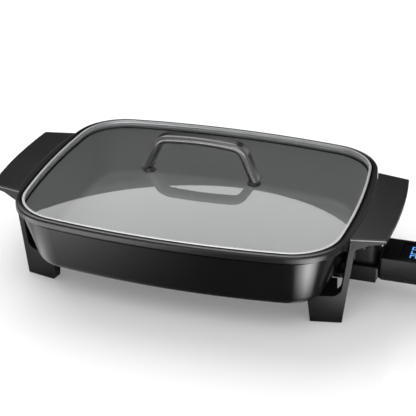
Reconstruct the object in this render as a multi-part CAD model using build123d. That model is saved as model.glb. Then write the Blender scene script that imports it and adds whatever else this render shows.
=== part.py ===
from build123d import *
import math
import os

# Electric skillet: a cast pan with an element in its base, two leg frames with handle covers,
# a lift-off glass lid and a plug-in digital controller with a temperature probe.
# Millimetres. The origin lies on the table under the middle of the pan;
# +X points to the controller, +Y to the back and +Z up.

# ---- Lid outline: a rectangle with bowed sides and round corners, shared by pan and lid ----
lid_half_length = 180.4
lid_half_width = 143.4
lid_long_bow = 930.0
lid_short_bow = 830.0
lid_corner = 56.7

# ---- Pan ----
rim_end_width = 10.1
rim_side_width = 5.9
rim_long_bow = 940.0
rim_short_bow = 517.0
rim_corner = 62.2
rim_top = 106.7
rim_band = 7.8
rim_edge_round = 2.4
rim_groove = 1.8
rim_groove_depth = 0.8
base_height = 35.5
base_thickness = 6.0
base_round = 14.0
well_round = 10.0
wall_thickness = 5.6
wall_draft = 16.5
ledge_width = 3.0
lug_y = 50.0
lug_z = 83.0
lug_width = 14.0
lug_reach = 6.4
lug_root = 12.0

# ---- Lid ----
lid_edge_top = 107.4
lid_skirt = 9.0
lid_band_sheet = 1.0
lid_band_lip = 1.7
lid_band_round = 0.6
lid_play = 0.7
seat_gap = 0.3
glass_thickness = 4.0
glass_fit = 0.15
glass_land = 1.0
lid_crown = 11.5
lid_hole = 6.0

# ---- Lid handle ----
grip_top = 160.3
grip_half_length = 50.0
grip_sag = 3.0
grip_depth = 17.4
grip_thickness = 9.6
grip_corner = 21.0
grip_inner_corner = 9.0
grip_flat = 0.5
foot_reach = 67.0
foot_length = 10.5
inner_leg_run = 13.6
gasket_height = 0.8
gasket_margin = 0.5
gasket_depth = 4.0
lid_screw_x = 60.8
lid_screw = 4.4
lid_screw_head = 10.0
lid_screw_head_height = 3.0
lid_screw_head_round = 1.2
lid_screw_grip = 6.5
lid_washer = 15.0
lid_washer_thickness = 1.2

# ---- Leg frames and handle covers ----
wing_reach = 34.5
wing_tip_half_width = 73.8
wing_root_half_width = 81.2
wing_root_inset = 5.2
wing_bow = 640.0
wing_top = 105.4
wing_inward = 25.0
cover_thickness = 2.4
cover_edge_round = 1.1
wing_tip_thickness = 1.6
wing_root_thickness = 4.6
wing_step = 19.0
tray_inward = 8.0
leg_lean = 2.4
leg_depth = 12.5
leg_top_width = 5.6
leg_bottom_inset = 3.9
leg_inner_slope = 0.1
leg_outer_round = 10.0
leg_inner_round = 11.0
leg_spare = 3.0
foot_inner_top = 42.0
foot_inner_bottom = 37.5
foot_top = 33.6
shelf_clearance = 8.2
shelf_drop = 13.0
shelf_toe = 3.0
shelf_inset = 2.0
shelf_outer_inset = 6.0
flange_thickness = 2.6
flange_bottom = 77.0
flange_half_width = 73.0
web_bottom = 92.0
frame_gap = 0.4
guard_gap = 0.2
frame_screw = 4.0
frame_screw_head = 8.4
frame_screw_head_height = 1.6
frame_screw_grip = 8.6
cover_screw_reach = 6.5
cover_screw_y = 66.0
cover_screw = 3.0
cover_screw_head = 5.6
cover_screw_head_height = 1.6
cover_screw_grip = 7.0
cover_peg = 5.0
cover_boss = 8.4
cover_boss_bottom = 89.0
cover_boss_floor = 2.4
pad_height = 4.0
pad_proud = 1.0
pad_inset = 2.6
pad_fit = 0.1

# ---- Heating element, terminals and their guard ----
element_z = 31.2
element_size = 8.0
element_end_inset = 62.4
element_side_inset = 59.4
element_turn = 30.0
element_entry_turn = 12.0
element_fit = 0.1
ridge_width = 16.0
ridge_bottom = 27.6
ridge_reach = 10.0
terminal_y = 12.0
boss_length = 68.0
boss_setback = 7.0
boss_half_width = 20.0
boss_bottom = 25.0
cold_end_inset = 7.4
pin_size = 4.8
pin_length = 22.0
pin_root_size = 3.8
pin_tip_round = 1.4
bead_size = 8.8
bead_length = 3.0
probe_size = 6.0
probe_depth = 62.0
probe_hole_spare = 2.0
probe_tip_round = 2.5
probe_root = 18.0
guard_reach = 14.8
guard_length = 37.3
guard_half_width = 25.0
guard_bottom = 23.7
guard_top = 43.5
guard_wall = 2.6
guard_round = 2.0
column_length = 26.3
column_half_width = 18.0
column_top = 75.6
column_round = 9.0
ear_length = 33.0
ear_overlap = 4.0
ear_half_width = 36.0
ear_thickness = 4.6
ear_round = 4.0
ear_screw_inset = 8.0
ear_screw_y = 29.0
ear_screw = 4.0
ear_screw_head = 7.6
ear_screw_head_height = 2.6
ear_screw_head_round = 1.0
ear_screw_grip = 3.8

# ---- Controller case ----
body_gap = 1.6
body_length = 119.0
body_half_width = 24.0
body_bottom = 27.0
body_top = 56.0
body_split = 33.2
body_wall = 2.2
body_corner = 4.0
body_edge_round = 1.0
body_chamfer = 3.6
chamfer_wall = 3.2
split_gap = 0.2
window_thickness = 1.2
window_margin = 2.4
window_fit = 0.15
post_size = 6.4
post_front_inset = 14.1
post_end_inset = 9.9
post_y = 17.4
post_foot = 2.0
shell_screw = 2.4
shell_screw_head = 5.4
shell_screw_head_height = 1.6
shell_screw_grip = 8.0

# ---- Controller plug end ----
nose_play = 0.6
nose_length = 30.6
nose_round = 1.2
nose_lead_in = 0.8
nose_gap = 0.2
neck_half_width = 19.0
neck_bottom = 29.6
neck_top = 39.5
neck_length = 9.0
sleeve_size = 6.2
sleeve_wall = 0.6
sleeve_length = 24.0
sleeve_recess = 1.0
tail_width = 3.4
tail_thickness = 0.8
tail_reach = 16.1

# ---- Controller insides ----
display_inset = 36.1
display_length = 26.0
display_width = 34.0
display_height = 5.0
display_gap = 0.2
display_play = 0.6
display_board_margin_x = 4.0
display_board_margin_y = 2.0
board_thickness = 1.6
board_z = 31.4
board_margin = 2.5
board_post = 5.0
board_post_inset = 31.1
board_post_pitch = 64.0
board_post_y = 14.0
board_screw = 1.8
board_screw_head = 4.0
board_screw_head_height = 1.4
board_screw_grip = 2.8
rib_size = 3.2
button_inset = 85.1
button_pitch = 14.0
button_size = 10.6
button_play = 0.25
button_proud = 0.9
button_edge_round = 0.8
button_travel = 0.8
button_rest_gap = 0.1
button_flange = 1.2
button_flange_height = 1.0
button_stem = 3.6
button_stem_height = 1.0
key_board_margin = 4.0
key_board_half_width = 13.0
key_rib_inset = 2.6
switch_size = 6.2
switch_height = 3.4
relay_size = (19.0, 15.5, 11.0)
relay_place = (51.1, -7.0)
supply_size = (22.0, 18.0, 9.0)
supply_place = (99.1, 0.0)
capacitor_size = 10.0
capacitor_height = 10.0
capacitor_round = 0.8
capacitor_place = (73.1, 9.0)
gland_size = 13.0
gland_bore = 7.2
gland_proud = 4.8
gland_flange = 16.0
gland_flange_thickness = 1.9
gland_z = 43.0

# ---- Fits and allowances shared by many pieces ----
thread_fit = 0.05
sliding_fit = 0.05
screw_clearance = 0.2
overcut = 1.0
far = 400.0

# ---- Places worked out from the sizes above ----
rim_half_length = lid_half_length + rim_end_width
rim_half_width = lid_half_width + rim_side_width
wall_outside = wall_thickness - ledge_width
ledge_z = lid_edge_top - lid_skirt - seat_gap
band_bottom = rim_top - rim_band
lug_end = lid_half_length + lug_reach
flange_face = lug_end + frame_gap
flange_back = flange_face + flange_thickness
wing_tip_x = rim_half_length + wing_reach
wing_root_x = rim_half_length - wing_root_inset
wing_corner_x = wing_tip_x - wing_bow + math.sqrt(wing_bow**2 - wing_tip_half_width**2)
wing_run = wing_corner_x - wing_root_x
wing_turn = math.degrees(math.atan2(wing_root_half_width - wing_tip_half_width, wing_run))
wing_edge_length = math.hypot(wing_root_half_width - wing_tip_half_width, wing_run)
tray_top = wing_top - cover_thickness
tray_under = tray_top - wing_root_thickness
shelf_depth = wing_root_half_width - ear_half_width - shelf_clearance
cover_screw_x = rim_half_length + cover_screw_reach
cover_screw_seat = cover_boss_bottom + cover_screw_head_height + screw_clearance
peg_bottom = cover_screw_seat + cover_boss_floor + screw_clearance
lip_rise = lid_crown * (1 - (1 - lid_band_lip / lid_half_width) ** 2)
glass_edge_top = lid_edge_top - lid_band_sheet - lip_rise - glass_fit
glass_edge_bottom = glass_edge_top - glass_thickness
glass_grow = -lid_band_sheet - glass_fit
glass_half_length = lid_half_length + glass_grow
lid_foot_z = glass_edge_top + lid_crown * (1 - (lid_screw_x / glass_half_length) ** 2) + gasket_height
under_share = lid_screw_x / (glass_half_length - glass_land)
lid_head_z = glass_edge_bottom + lid_crown * (1 - under_share**2) - lid_washer_thickness
element_half_length = lid_half_length - element_end_inset
element_half_width = lid_half_width - element_side_inset
element_groove = element_size + 2 * element_fit
ridge_end = element_half_length + ridge_reach
cold_end = lid_half_length - cold_end_inset
pin_start = cold_end + bead_length
boss_end = cold_end - boss_setback
boss_start = boss_end - boss_length
guard_end = rim_half_length + guard_reach
guard_start = guard_end - guard_length
column_start = guard_end - column_length
ear_end = guard_start + ear_overlap
ear_start = ear_end - ear_length
ear_screw_x = ear_start + ear_screw_inset
body_start = guard_end + body_gap
body_end = body_start + body_length
post_x = (body_start + post_front_inset, body_end - post_end_inset)
tail_end = body_start + tail_reach
display_x = body_start + display_inset
board_post_x = (body_start + board_post_inset, body_start + board_post_inset + board_post_pitch)
button_x = body_start + button_inset
body_floor = body_bottom + body_wall
body_roof = body_top - window_thickness - body_wall
nose_start = body_start - nose_length
board_top = board_z + board_thickness
display_top = body_top - window_thickness - display_gap
display_board_top = display_top - display_height
button_flange_top = body_roof - button_rest_gap
stem_end = button_flange_top - button_flange_height - button_stem_height
key_board_top = stem_end - button_travel - button_rest_gap - switch_height
key_board_reach = button_pitch + button_size / 2 + key_board_margin
button_names = ("power", "minus", "plus")
corners = ((-1, -1), (-1, 1), (1, -1), (1, 1))


# ---- Shared shapes ----
def flat_face(edges):
    """Face inside a closed run of edges, looking up."""
    face = Face(Wire(edges))
    return face if face.normal_at().Z > 0 else -face


def bowed_face(half_length, half_width, long_bow, short_bow, corner, grow):
    """Face bounded by four bowed sides and four corner arcs, all tangent, grown by an offset."""
    half_length, half_width = half_length + grow, half_width + grow
    long_bow, short_bow, corner = long_bow + grow, short_bow + grow, corner + grow
    long_centre = Vector(0, half_width - long_bow)
    short_centre = Vector(half_length - short_bow, 0)
    span = short_centre - long_centre
    reach = (long_bow - corner) ** 2 - (short_bow - corner) ** 2 + span.length**2
    along = reach / (2 * span.length)
    across = math.sqrt((long_bow - corner) ** 2 - along**2)
    unit = span.normalized()
    middle = long_centre + unit * along + Vector(unit.Y, -unit.X) * across
    long_touch = long_centre + (middle - long_centre).normalized() * long_bow
    short_touch = short_centre + (middle - short_centre).normalized() * short_bow
    bulge = middle + ((long_touch - middle) + (short_touch - middle)).normalized() * corner

    edges = []
    for x_sign, y_sign in corners:
        def at(point):
            return (point.X * x_sign, point.Y * y_sign)

        edges.append(ThreePointArc(at(long_touch), at(bulge), at(short_touch)))
    for sign in (-1, 1):
        y = sign * long_touch.Y
        edges.append(ThreePointArc((-long_touch.X, y), (0, sign * half_width), (long_touch.X, y)))
        x = sign * short_touch.X
        edges.append(ThreePointArc((x, -short_touch.Y), (sign * half_length, 0), (x, short_touch.Y)))
    return flat_face(edges)


def rim_face(grow=0.0):
    return bowed_face(rim_half_length, rim_half_width, rim_long_bow, rim_short_bow, rim_corner, grow)


def lid_face(grow=0.0):
    return bowed_face(lid_half_length, lid_half_width, lid_long_bow, lid_short_bow, lid_corner, grow)


def slab(face, low, high):
    """A flat outline made solid between two heights."""
    return extrude(Pos(0, 0, low) * face, amount=high - low)


def block(x, y, z):
    """Box between two values on each axis."""
    size = Box(abs(x[1] - x[0]), y[1] - y[0], z[1] - z[0], align=(Align.MIN, Align.MIN, Align.MIN))
    return Pos(min(x), y[0], z[0]) * size


def rod(start, direction, diameter, length):
    """Cylinder from a start point along an axis direction."""
    return extrude(Plane(start, z_dir=direction) * Circle(diameter / 2), amount=length)


def top_edges(shape, axis=Axis.Z):
    return shape.faces().sort_by(axis)[-1].edges()


def bottom_edges(shape, axis=Axis.Z):
    return shape.faces().sort_by(axis)[0].edges()


def drafted(grow, top, bottom, round_radius):
    """Drafted plug under the lid's outline, grown at the top height, with its lower edge rounded."""
    drop = (top - bottom) * math.tan(math.radians(wall_draft))
    plug = loft([Pos(0, 0, bottom) * lid_face(grow - drop), Pos(0, 0, top) * lid_face(grow)], ruled=True)
    return fillet(bottom_edges(plug), round_radius)


def pan_envelope(gap):
    """Outside of the pan with a gap, used to cut what stands against it."""
    wall = drafted(wall_outside + gap, band_bottom, base_height - gap, base_round)
    return wall + slab(rim_face(gap), band_bottom - gap, rim_top + gap)


def swept_along_element(section):
    """A section carried in at one terminal, round the base and out at the other; its Y stays up."""
    near, side = element_half_length, element_half_width
    plan = [
        (cold_end, -terminal_y), (near, -terminal_y), (near, -side), (-near, -side),
        (-near, side), (near, side), (near, terminal_y), (cold_end, terminal_y),
    ]
    radii = [element_entry_turn] + [element_turn] * 4 + [element_entry_turn]
    path = FilletPolyline(*[(x, y, element_z) for x, y in plan], radius=radii)
    return sweep(Plane(path @ 0, x_dir=(0, -1, 0), z_dir=path % 0) * section, path=path)


# ---- Pan: one aluminium casting with the element groove, the probe boss and four lugs ----
def make_pan():
    band = slab(rim_face(), band_bottom, rim_top)
    band = fillet(top_edges(band), rim_edge_round)
    pan = drafted(wall_outside, band_bottom, base_height, base_round) + band
    groove = rim_face(overcut) - lid_face(wall_outside - rim_groove_depth)
    pan -= slab(groove, band_bottom - rim_groove, band_bottom)

    inside_base = base_height + overcut
    ridge_height = inside_base - ridge_bottom
    ridge_middle = (inside_base + ridge_bottom) / 2 - element_z
    ridge = swept_along_element(Pos(0, ridge_middle) * Rectangle(ridge_width, ridge_height))
    pan += ridge & block((-far, ridge_end), (-far, far), (0, rim_top))
    boss_y = (-boss_half_width, boss_half_width)
    pan += block((boss_start, boss_end), boss_y, (boss_bottom, inside_base))
    for x_sign, y_sign in corners:
        y = y_sign * lug_y
        lug_x = (x_sign * (lid_half_length - lug_root), x_sign * lug_end)
        lug_sides = (y - lug_width / 2, y + lug_width / 2)
        pan += block(lug_x, lug_sides, (lug_z - lug_width / 2, lug_z + lug_width / 2))

    draft_step = overcut * math.tan(math.radians(wall_draft))
    floor = base_height + base_thickness
    pan -= drafted(-ledge_width + draft_step, ledge_z + overcut, floor, well_round)
    pan -= slab(lid_face(lid_play), ledge_z, rim_top + overcut)

    pan -= swept_along_element(Circle(element_groove / 2))
    slot_depth = element_z - boss_bottom + overcut
    pan -= swept_along_element(Pos(0, -slot_depth / 2) * Rectangle(element_groove, slot_depth))
    probe_end = nose_start - probe_depth - probe_hole_spare
    probe_hole = probe_size + 2 * sliding_fit
    pan -= rod((probe_end, 0, element_z), (1, 0, 0), probe_hole, boss_end - probe_end + overcut)
    for x_sign, y_sign in corners:
        start = (x_sign * (lug_end + overcut), y_sign * lug_y, lug_z)
        depth = frame_screw_grip + 2 * overcut
        pan -= rod(start, (-x_sign, 0, 0), frame_screw + 2 * thread_fit, depth)
    for y_sign in (-1, 1):
        start = (ear_screw_x, y_sign * ear_screw_y, base_height - overcut)
        pan -= rod(start, (0, 0, 1), ear_screw + 2 * thread_fit, ear_screw_grip + overcut + screw_clearance)
    return pan


# ---- Leg frames: a wing tray, a flange on the pan's lugs and two legs with feet, one moulding ----
def wing_plan(side, inset=0.0):
    """Plan of one handle wing: straight front and back edges and a bowed outer edge."""
    slope = (wing_root_half_width - wing_tip_half_width) / wing_run
    inner_x = wing_root_x - wing_inward
    inner_y = wing_root_half_width + slope * wing_inward - inset
    tip_y = wing_tip_half_width - inset
    corner_x = side * (wing_corner_x - inset)
    straight = Polyline((corner_x, -tip_y), (side * inner_x, -inner_y), (side * inner_x, inner_y), (corner_x, tip_y))
    bow = ThreePointArc((corner_x, tip_y), (side * (wing_tip_x - inset), 0), (corner_x, -tip_y))
    return flat_face(straight.edges() + bow.edges())


def leg_plate():
    """One leg with its foot in the plate's own plane: X along the plate, Y into it, Z up."""
    outer_slope = (leg_top_width + leg_bottom_inset) / tray_under
    foot_slope = (foot_inner_top - foot_inner_bottom) / foot_top
    armpit = (leg_top_width, tray_under)
    crook = (-(tray_top - foot_top) * leg_inner_slope, foot_top)
    points = [
        (0, tray_top),
        (wing_edge_length, tray_top),
        (wing_edge_length, tray_top - wing_tip_thickness),
        (wing_step, tray_under),
        armpit,
        (-leg_bottom_inset - outer_slope * leg_spare, -leg_spare),
        (-foot_inner_bottom + foot_slope * leg_spare, -leg_spare),
        (-foot_inner_top, foot_top),
        crook,
    ]
    profile = flat_face(Polyline(*points, close=True).edges())
    for point, radius in ((armpit, leg_outer_round), (crook, leg_inner_round)):
        vertex = profile.vertices().sort_by_distance(Vector(*point))[0]
        profile = profile.fillet_2d(radius, [vertex])
    plate = extrude(Plane.XZ * profile, amount=-leg_depth)
    shelf_x = (-foot_inner_top + shelf_inset, -leg_bottom_inset - shelf_outer_inset)
    shelf = block(shelf_x, (leg_depth - shelf_inset, shelf_depth), (foot_top - shelf_drop, foot_top))
    low_back = shelf.edges().filter_by(Axis.X).group_by(Axis.Z)[0].sort_by(Axis.Y)[-1:]
    return plate + chamfer(low_back, shelf_drop - shelf_toe)


def at_corner(shape, side, end):
    """A front right piece turned to the wing's edge and set at one of the four corners."""
    placed = Pos(wing_root_x, -wing_root_half_width, 0) * Rot(0, 0, wing_turn) * shape
    if end > 0:
        placed = mirror(placed, about=Plane.XZ)
    if side < 0:
        placed = mirror(placed, about=Plane.YZ)
    return placed


def make_pad(side, end, grow=0.0):
    """Pad let into the underside of one foot."""
    lean_shift = math.sin(math.radians(leg_lean)) * wing_top
    pad_x = (-foot_inner_bottom + pad_inset - grow, -leg_bottom_inset - pad_inset + grow)
    pad_y = (lean_shift + pad_inset - grow, lean_shift + leg_depth - pad_inset + grow)
    return at_corner(block(pad_x, pad_y, (0, pad_height + grow)), side, end)


def make_frame(side):
    inner = wing_root_x - tray_inward
    tip = wing_tip_x + overcut
    section = Polyline(
        (inner, tray_top),
        (tip, tray_top),
        (tip, tray_top - wing_tip_thickness),
        (wing_root_x + wing_step, tray_under),
        (flange_back, web_bottom),
        (flange_face, web_bottom),
        (flange_face, band_bottom - frame_gap),
        (inner, band_bottom - frame_gap),
        close=True,
    )
    tray = extrude(Plane.XZ * flat_face(section.edges()), amount=wing_root_half_width, both=True)
    flange_y = (-flange_half_width, flange_half_width)
    tray += block((flange_face, flange_back), flange_y, (flange_bottom, web_bottom + overcut))
    if side < 0:
        tray = mirror(tray, about=Plane.YZ)
    for y_sign in (-1, 1):
        place = (side * cover_screw_x, y_sign * cover_screw_y, cover_boss_bottom)
        tray += rod(place, (0, 0, 1), cover_boss, tray_under - cover_boss_bottom + overcut)
    frame = tray & slab(wing_plan(side), flange_bottom - overcut, tray_top)
    lean = Pos(0, 0, wing_top) * Rot(leg_lean, 0, 0) * Pos(0, 0, -wing_top)
    for end in (-1, 1):
        frame += at_corner(lean * leg_plate(), side, end)
    frame -= block((-far, far), (-far, far), (tray_top, tray_top + far))
    frame -= block((-far, far), (-far, far), (-far, pad_proud))
    frame -= pan_envelope(frame_gap)
    for end in (-1, 1):
        frame -= make_pad(side, end, pad_fit)
        start = (side * (flange_face - overcut), end * lug_y, lug_z)
        hole = frame_screw + 2 * screw_clearance
        frame -= rod(start, (side, 0, 0), hole, flange_thickness + 2 * overcut)
        x, y = side * cover_screw_x, end * cover_screw_y
        frame -= rod((x, y, peg_bottom - screw_clearance), (0, 0, 1), cover_peg + 2 * screw_clearance, far)
        frame -= rod((x, y, 0), (0, 0, 1), cover_screw + 2 * screw_clearance, tray_top)
        frame -= rod((x, y, 0), (0, 0, 1), cover_screw_head + 2 * screw_clearance, cover_screw_seat)
    return frame


def make_cover(side):
    """Skin on top of one wing, with two pegs that take its screws."""
    cover = slab(wing_plan(side), tray_top, wing_top)
    rounded = top_edges(cover).filter_by(lambda edge: abs(edge.center().X) > wing_root_x)
    cover = fillet(rounded, cover_edge_round)
    cover -= slab(rim_face(frame_gap), tray_top - overcut, wing_top + overcut)
    for y_sign in (-1, 1):
        place = (side * cover_screw_x, y_sign * cover_screw_y, peg_bottom)
        cover += rod(place, (0, 0, 1), cover_peg, tray_top - peg_bottom + overcut)
        cover -= rod(place, (0, 0, 1), cover_screw + 2 * thread_fit, cover_screw_grip + screw_clearance)
    return cover


def make_frame_screws(side):
    screws = []
    for y_sign in (-1, 1):
        start = (side * flange_back, y_sign * lug_y, lug_z)
        head = rod(start, (side, 0, 0), frame_screw_head, frame_screw_head_height)
        socket = (side * (flange_back + frame_screw_head_height / 2), y_sign * lug_y, lug_z)
        head -= rod(socket, (side, 0, 0), frame_screw, frame_screw_head_height)
        shank = rod(start, (-side, 0, 0), frame_screw, flange_thickness + frame_gap + frame_screw_grip)
        screws.append(head + shank)
    return Compound(screws)


def make_cover_screws(side):
    screws = []
    for y_sign in (-1, 1):
        place = (side * cover_screw_x, y_sign * cover_screw_y, cover_screw_seat)
        head = rod(place, (0, 0, -1), cover_screw_head, cover_screw_head_height)
        shank = rod(place, (0, 0, 1), cover_screw, peg_bottom - cover_screw_seat + cover_screw_grip)
        screws.append(head + shank)
    return Compound(screws)


# ---- Lid: domed glass in a steel band, with a handle screwed through the glass ----
def dome(edge_height, grow, skirt):
    """Solid under a shallow dome: similar outlines stacked up to the crown."""
    sections = []
    for share in (1.0, 0.93, 0.8, 0.62, 0.42, 0.22, 0.04):
        height = edge_height + lid_crown * (1 - share**2)
        sections.append(Pos(0, 0, height) * scale(lid_face(grow), by=share))
    return loft(sections) + slab(lid_face(grow), edge_height - skirt, edge_height)


def lid_hole_rod(side):
    return rod((side * lid_screw_x, 0, ledge_z), (0, 0, 1), lid_hole, grip_top - ledge_z)


def make_glass(over, under):
    glass = over - under
    for side in (-1, 1):
        glass -= lid_hole_rod(side)
    return glass


def make_lid_band():
    """Steel channel folded round the glass edge, with a skirt that stands in the pan's seat."""
    low = lid_edge_top - lid_skirt
    band = slab(lid_face(), low, lid_edge_top)
    band = fillet(top_edges(band), lid_band_round)
    inside = lid_face(-lid_band_sheet)
    band -= slab(inside, glass_edge_bottom - glass_fit, lid_edge_top - lid_band_sheet)
    band -= slab(inside, low - overcut, glass_edge_bottom - glass_fit - lid_band_sheet)
    band -= slab(lid_face(-lid_band_sheet - lid_band_lip), low, lid_edge_top + overcut)
    return band


def make_lid_handle():
    """Bowed grip on two splayed legs, with its long edges rounded over to a narrow flat."""
    shoulder = grip_top - grip_sag
    splay = math.atan2(foot_reach - grip_half_length, shoulder - lid_foot_z)
    edge_round = (min(grip_thickness, foot_length * math.cos(splay)) - grip_flat) / 2
    inner_x = foot_reach - foot_length
    inner_top_x = inner_x - inner_leg_run
    outer = [(-foot_reach, lid_foot_z), (-grip_half_length, shoulder), (0, grip_top)]
    outer += [(grip_half_length, shoulder), (foot_reach, lid_foot_z)]
    inner_top = grip_top - grip_thickness
    inner = [(-inner_x, lid_foot_z), (-inner_top_x, inner_top - grip_sag), (0, inner_top)]
    inner += [(inner_top_x, inner_top - grip_sag), (inner_x, lid_foot_z)]
    profile = flat_face([
        Line(outer[0], outer[1]),
        ThreePointArc(outer[1], outer[2], outer[3]),
        Line(outer[3], outer[4]),
        Line(outer[4], inner[4]),
        Line(inner[4], inner[3]),
        ThreePointArc(inner[3], inner[2], inner[1]),
        Line(inner[1], inner[0]),
        Line(inner[0], outer[0]),
    ])
    for line, radius in ((outer, grip_corner), (inner, grip_inner_corner)):
        for index in (1, 3):
            vertex = profile.vertices().sort_by_distance(Vector(*line[index]))[0]
            profile = profile.fillet_2d(radius, [vertex])
    handle = extrude(Plane.XZ * profile, amount=grip_depth / 2, both=True)
    long_edges = [
        edge for edge in bottom_edges(handle, Axis.Y) + top_edges(handle, Axis.Y)
        if edge.center().Z > lid_foot_z + overcut / 2
    ]
    handle = fillet(long_edges, edge_round)
    for side in (-1, 1):
        start = (side * lid_screw_x, 0, lid_foot_z - overcut)
        handle -= rod(start, (0, 0, 1), lid_screw + 2 * thread_fit, lid_screw_grip + 2 * overcut)
    return handle


def make_lid_gaskets(over):
    """Flat pads between the handle's feet and the dome."""
    gaskets = []
    for side in (-1, 1):
        pad_x = (side * (foot_reach - foot_length - gasket_margin), side * (foot_reach + gasket_margin))
        half_depth = grip_depth / 2 + gasket_margin
        pad = block(pad_x, (-half_depth, half_depth), (lid_foot_z - gasket_depth, lid_foot_z))
        gaskets.append(pad - lid_hole_rod(side) - over)
    return Compound(gaskets)


def make_lid_washers(under):
    """Soft washers that follow the underside of the glass."""
    washers = []
    for side in (-1, 1):
        place = (side * lid_screw_x, 0, lid_head_z)
        washer = rod(place, (0, 0, 1), lid_washer, glass_thickness)
        washers.append((washer & under) - rod(place, (0, 0, 1), lid_hole, glass_thickness))
    return Compound(washers)


def make_lid_screws():
    screws = []
    for side in (-1, 1):
        place = (side * lid_screw_x, 0, lid_head_z)
        head = rod(place, (0, 0, -1), lid_screw_head, lid_screw_head_height)
        head = fillet(bottom_edges(head), lid_screw_head_round)
        screws.append(head + rod(place, (0, 0, 1), lid_screw, lid_foot_z + lid_screw_grip - lid_head_z))
    return Compound(screws)


# ---- Heating element, its terminals and the guard round them ----
def make_terminal_pins():
    pins = []
    for y_sign in (-1, 1):
        y = y_sign * terminal_y
        pin = rod((pin_start, y, element_z), (1, 0, 0), pin_size, pin_length)
        pin = fillet(top_edges(pin, Axis.X), pin_tip_round)
        pins.append(pin + rod((cold_end, y, element_z), (1, 0, 0), pin_root_size, bead_length))
    return Compound(pins)


def make_terminal_beads():
    beads = []
    for y_sign in (-1, 1):
        y = y_sign * terminal_y
        bead = rod((cold_end, y, element_z), (1, 0, 0), bead_size, bead_length)
        beads.append(bead - rod((cold_end, y, element_z), (1, 0, 0), pin_root_size + 2 * thread_fit, bead_length))
    return Compound(beads)


def make_guard():
    """Moulded socket under the right wing: an open tube for the plug, a shield above it, two ears."""
    tube_y = (-guard_half_width, guard_half_width)
    guard = block((guard_start, guard_end), tube_y, (guard_bottom, guard_top))
    guard = fillet(guard.edges().filter_by(Axis.X), guard_round)
    ears = block((ear_start, ear_end), (-ear_half_width, ear_half_width), (base_height - ear_thickness, base_height))
    ears = fillet(ears.edges().filter_by(Axis.Z), ear_round)
    between = boss_half_width + overcut
    guard += ears - block((0, guard_start), (-between, between), (0, rim_top))
    column_y = (-column_half_width, column_half_width)
    column = block((column_start, guard_end), column_y, (guard_top - overcut, column_top))
    column = fillet(column.edges().filter_by(Axis.Z).group_by(Axis.X)[-1], column_round)
    guard += column
    hollow_y = guard_half_width - guard_wall
    guard -= block((0, far), (-hollow_y, hollow_y), (guard_bottom + guard_wall, guard_top - guard_wall))
    hollow_x = (column_start + guard_wall, guard_end - guard_wall)
    hollow_y = column_half_width - guard_wall
    hollow = block(hollow_x, (-hollow_y, hollow_y), (guard_top, column_top - guard_wall))
    guard -= fillet(hollow.edges().filter_by(Axis.Z).group_by(Axis.X)[-1], column_round - guard_wall)
    guard -= pan_envelope(guard_gap)
    for y_sign in (-1, 1):
        place = (ear_screw_x, y_sign * ear_screw_y, 0)
        guard -= rod(place, (0, 0, 1), ear_screw + 2 * screw_clearance, rim_top)
    return guard


def make_guard_screws():
    screws = []
    for y_sign in (-1, 1):
        place = (ear_screw_x, y_sign * ear_screw_y, base_height - ear_thickness)
        head = rod(place, (0, 0, -1), ear_screw_head, ear_screw_head_height)
        head = fillet(bottom_edges(head), ear_screw_head_round)
        screws.append(head + rod(place, (0, 0, 1), ear_screw, ear_thickness + ear_screw_grip))
    return Compound(screws)


# ---- Controller case ----
def case_outline(inset=0.0):
    """Plan of the controller's case."""
    corner = max(body_corner - inset, body_edge_round / 2)
    plan = RectangleRounded(body_length - 2 * inset, 2 * (body_half_width - inset), corner)
    return Pos(body_start + body_length / 2, 0) * plan


def neck_block(grow=0.0):
    """Neck of the plug end, held between the two shells."""
    neck_x = (body_start - nose_gap - overcut - grow, body_start + neck_length + grow)
    half_width = neck_half_width + grow
    return block(neck_x, (-half_width, half_width), (neck_bottom - grow, neck_top + grow))


def button_place(index):
    return (button_x + (index - 1) * button_pitch, 0)


def button_hole(index, low, high):
    x, y = button_place(index)
    return rod((x, y, low), (0, 0, 1), button_size + 2 * button_play, high - low)


def each_post(sizes_x, size_y):
    return [(x, y_sign * size_y) for x in sizes_x for y_sign in (-1, 1)]


def make_top_shell():
    shell = fillet(top_edges(slab(case_outline(), body_split, body_top)), body_edge_round)
    shell -= slab(case_outline(body_wall), body_split - overcut, body_roof)
    shell -= slab(case_outline(window_margin), body_top - window_thickness, body_top + overcut)
    shell -= neck_block(nose_gap)
    half_x, half_y = display_length / 2 + display_play, display_width / 2 + display_play
    shell -= block((display_x - half_x, display_x + half_x), (-half_y, half_y), (body_roof - overcut, body_top))
    for index in range(len(button_names)):
        shell -= button_hole(index, body_roof - overcut, body_top)
    start = (body_end - body_wall - overcut, 0, gland_z)
    shell -= rod(start, (1, 0, 0), gland_size + 2 * screw_clearance, body_wall + 2 * overcut)
    for x, y in each_post(post_x, post_y):
        post = rod((x, y, body_split), (0, 0, 1), post_size, body_roof - body_split + overcut / 2)
        shell += post - rod((x, y, body_split), (0, 0, 1), shell_screw + 2 * thread_fit, shell_screw_grip + overcut)
    for x, y in display_ribs():
        shell += rod((x, y, display_board_top), (0, 0, 1), rib_size, body_roof - display_board_top + overcut / 2)
    for x, y in key_ribs():
        shell += rod((x, y, key_board_top), (0, 0, 1), rib_size, body_roof - key_board_top + overcut / 2)
    return shell


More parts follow.
